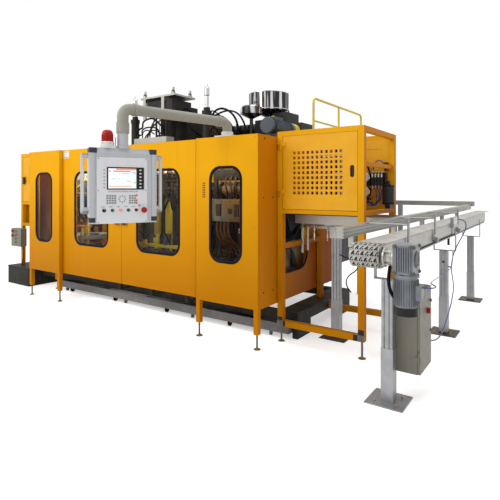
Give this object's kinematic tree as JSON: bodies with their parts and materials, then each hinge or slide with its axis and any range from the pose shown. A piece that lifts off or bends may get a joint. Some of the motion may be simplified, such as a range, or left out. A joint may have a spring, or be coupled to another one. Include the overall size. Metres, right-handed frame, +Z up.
{
  "type": "blow moulding machine",
  "caption": "Guarded shuttle blow moulding machine with top extruder, sliding window doors, swing-arm panel, take-out unit and outfeed slat conveyor.",
  "frame": {"origin": "on the floor under the middle of the whole machine's outline", "axes": "+X along the enclosure towards the take-out unit, +Y from the window side towards the rear, +Z up"},
  "size_m": [7.028, 6.1435, 2.905],
  "materials": {
    "amber_paint": "semi-gloss powder coat with scuffs",
    "lemon_paint": "semi-gloss enamel",
    "black_paint": "satin enamel, dusty",
    "grey_paint": "satin enamel",
    "light_grey_paint": "fine textured enamel",
    "blue_grey_paint": "satin enamel",
    "aluminium": "anodised",
    "steel": "brushed",
    "bright_steel": "polished",
    "black_steel": "black oxide, oily",
    "rubber": "matt",
    "blue_hose": "semi-gloss",
    "red_plastic": "glossy",
    "black_plastic": "matt",
    "slat_plastic": "matt acetal"
  },
  "bodies": {
    "machine": {"base_frame": "black_paint", "portal_frame": "grey_paint", "blow_cylinders": "black_steel", "die_head": "black_steel", "head_top_plate": "aluminium", "extruder": "black_steel", "drive_motor": "blue_grey_paint", "hoppers": "bright_steel", "cable_duct": "aluminium", "enclosure_frame": "amber_paint", "cover_panels": "amber_paint", "fixed_windows": "rubber", "end_panel": "amber_paint", "left_frame": "amber_paint", "operator_box": "light_grey_paint", "unit_frame": "amber_paint", "unit_board": "amber_paint", "railing": "lemon_paint", "rear_cabinet": "grey_paint", "arm_base": "light_grey_paint", "conveyor_frame": "aluminium", "slat_belt": "slat_plastic", "conveyor_legs": "aluminium", "gear_motor": "steel", "guide_rods": "steel", "control_cabinet": "light_grey_paint", "cross_conveyors": "aluminium", "scrap_tray": "light_grey_paint", "cabinet_hose": "blue_hose", "motor_lead": "blue_hose", "hydraulic_hoses": "rubber", "fixed_hoses": "rubber", "levelling_feet": "steel"},
    "door_left": {"door_left": "amber_paint", "door_window_left": "rubber"},
    "door_right": {"door_right": "amber_paint", "door_window_right": "rubber"},
    "left_door": {"left_door": "amber_paint"},
    "unit_door": {"unit_door": "amber_paint"},
    "shuttle": {"shuttle_carriage": "lemon_paint", "clamp_frames": "lemon_paint", "tie_bars": "steel"},
    "extruder_screw": {"extruder_screw": "steel"},
    "main_switch": {"main_switch": "red_plastic"},
    "box_stop_upper": {"box_stop_upper": "red_plastic"},
    "box_stop_lower": {"box_stop_lower": "red_plastic"},
    "platen_left_front": {"platen_left_front": "lemon_paint"},
    "platen_left_rear": {"platen_left_rear": "lemon_paint"},
    "platen_right_front": {"platen_right_front": "lemon_paint"},
    "platen_right_rear": {"platen_right_rear": "lemon_paint"},
    "blow_pin_left": {"blow_pin_left": "bright_steel"},
    "blow_pin_right": {"blow_pin_right": "bright_steel"},
    "swing_arm": {"swing_arm": "light_grey_paint"},
    "operator_panel": {"operator_panel": "light_grey_paint", "panel_face": "light_grey_paint", "warning_beacon": "red_plastic"},
    "selector_knob": {"selector_knob": "black_plastic"},
    "emergency_stop": {"emergency_stop": "red_plastic"},
    "drive_shaft": {"drive_shaft": "steel"},
    "cabinet_door": {"cabinet_door": "light_grey_paint"}
  },
  "joints": [
    {"name": "door_left_slide", "type": "slide", "parent": "machine", "child": "door_left", "axis": [-1, 0, 0], "range_m": [0, 0.66]},
    {"name": "door_right_slide", "type": "slide", "parent": "machine", "child": "door_right", "axis": [1, 0, 0], "range_m": [0, 0.66]},
    {"name": "left_door_hinge", "type": "hinge", "parent": "machine", "child": "left_door", "pos_m": [-2.327, -1.244, 1.7], "axis": [0, 0, 1], "range_deg": [0, 90]},
    {"name": "unit_door_hinge", "type": "hinge", "parent": "machine", "child": "unit_door", "pos_m": [1.8632, -1.34, 1.7], "axis": [0, 0, -1], "range_deg": [0, 95]},
    {"name": "shuttle_slide", "type": "slide", "parent": "machine", "child": "shuttle", "axis": [1, 0, 0], "range_m": [-0.675, 0]},
    {"name": "clamp_left", "type": "slide", "parent": "shuttle", "child": "platen_left_front", "axis": [0, 1, 0], "range_m": [0, 0.15]},
    {"name": "clamp_left_rear", "type": "slide", "parent": "shuttle", "child": "platen_left_rear", "axis": [0, -1, 0], "range_m": [0, 0.15]},
    {"name": "clamp_right", "type": "slide", "parent": "shuttle", "child": "platen_right_front", "axis": [0, 1, 0], "range_m": [0, 0.15]},
    {"name": "clamp_right_rear", "type": "slide", "parent": "shuttle", "child": "platen_right_rear", "axis": [0, -1, 0], "range_m": [0, 0.15]},
    {"name": "blow_pin_left_stroke", "type": "slide", "parent": "machine", "child": "blow_pin_left", "axis": [0, 0, -1], "range_m": [0, 0.14]},
    {"name": "blow_pin_right_stroke", "type": "slide", "parent": "machine", "child": "blow_pin_right", "axis": [0, 0, -1], "range_m": [0, 0.14]},
    {"name": "arm_swing", "type": "hinge", "parent": "machine", "child": "swing_arm", "pos_m": [1.361, -1.605, 2.2], "axis": [0, 0, 1], "range_deg": [-45, 45]},
    {"name": "panel_swivel", "type": "hinge", "parent": "swing_arm", "child": "operator_panel", "pos_m": [1.121, -2.755, 1.95], "axis": [0, 0, 1], "range_deg": [-60, 60]},
    {"name": "selector_turn", "type": "hinge", "parent": "operator_panel", "child": "selector_knob", "pos_m": [1.09377, -2.92743, 1.385], "axis": [0.8827, -0.4699, 0], "range_deg": [-45, 45]},
    {"name": "emergency_stop_push", "type": "slide", "parent": "operator_panel", "child": "emergency_stop", "axis": [-0.8827, 0.4699, 0], "range_m": [0, 0.004]},
    {"name": "drive_shaft_turn", "type": "hinge", "parent": "machine", "child": "drive_shaft", "pos_m": [3.157, -2.441, 1.131], "axis": [1, 0, 0], "continuous": true},
    {"name": "cabinet_door_hinge", "type": "hinge", "parent": "machine", "child": "cabinet_door", "pos_m": [3.355, -1.9368, 0.515], "axis": [0, 0, -1], "range_deg": [0, 100]},
    {"name": "screw_turn", "type": "hinge", "parent": "machine", "child": "extruder_screw", "pos_m": [0.291, 0.115, 2.42], "axis": [1, 0, 0], "continuous": true},
    {"name": "main_switch_turn", "type": "hinge", "parent": "cabinet_door", "child": "main_switch", "pos_m": [3.374, -1.7278, 0.645], "axis": [1, 0, 0], "range_deg": [0, 90]},
    {"name": "box_stop_upper_push", "type": "slide", "parent": "machine", "child": "box_stop_upper", "axis": [0, 1, 0], "range_m": [0, 0.004]},
    {"name": "box_stop_lower_push", "type": "slide", "parent": "machine", "child": "box_stop_lower", "axis": [0, 1, 0], "range_m": [0, 0.004]}
  ],
  "couplings": [
    {"joint": "clamp_left_rear", "follows": "clamp_left", "ratio": 1},
    {"joint": "clamp_right_rear", "follows": "clamp_right", "ratio": 1}
  ]
}
